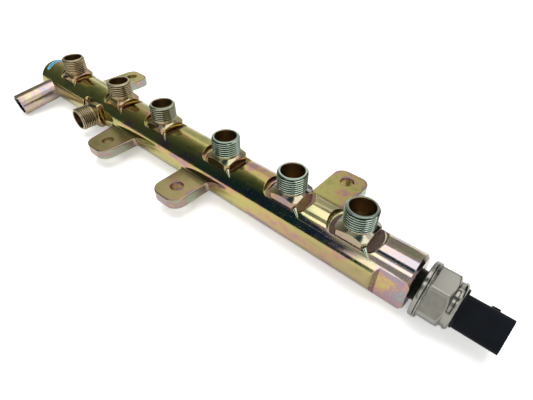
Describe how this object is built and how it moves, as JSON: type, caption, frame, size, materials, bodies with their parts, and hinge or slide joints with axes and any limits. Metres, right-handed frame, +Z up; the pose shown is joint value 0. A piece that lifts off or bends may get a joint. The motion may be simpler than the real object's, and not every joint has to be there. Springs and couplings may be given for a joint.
{
  "type": "fuel rail",
  "caption": "High-pressure fuel rail: a machined steel bar with threaded pipe stubs, fixing lugs, a plain side tube and a screwed-in pressure sensor with a connector.",
  "frame": {"origin": "midway between the two front lug holes, on the lower face that the lugs seat with", "axes": "+X along the rail from its closed end to the sensor, +Y to the back, +Z up through the outlets"},
  "size_m": [0.4333, 0.0972, 0.0492],
  "materials": {
    "plated_steel": "yellow chromated zinc plating on machined steel",
    "plated_tube": "yellow chromated zinc plating on drawn tube",
    "sensor_steel": "satin turned stainless steel",
    "spring_steel": "plain stainless steel",
    "tinned_contact": "plated contact brass",
    "black_polymer": "glass-filled moulded plastic",
    "board_laminate": "printed circuit laminate",
    "chip_polymer": "moulded chip body",
    "seal_rubber": "matt rubber"
  },
  "bodies": {
    "root": {"rail_body": "plated_steel", "side_tube": "plated_tube", "sensor_port": "sensor_steel", "sensor_shell": "sensor_steel", "sensor_element": "spring_steel", "sensor_gauge": "chip_polymer", "sensor_board_holder": "black_polymer", "sensor_board": "board_laminate", "sensor_board_chip": "chip_polymer", "sensor_capacitor_1": "chip_polymer", "sensor_capacitor_2": "chip_polymer", "contact_spring_1": "spring_steel", "contact_spring_2": "spring_steel", "contact_spring_3": "spring_steel", "connector_pin_1": "tinned_contact", "connector_pin_2": "tinned_contact", "connector_pin_3": "tinned_contact", "sensor_seal": "seal_rubber", "sensor_connector": "black_polymer"}
  },
  "joints": []
}
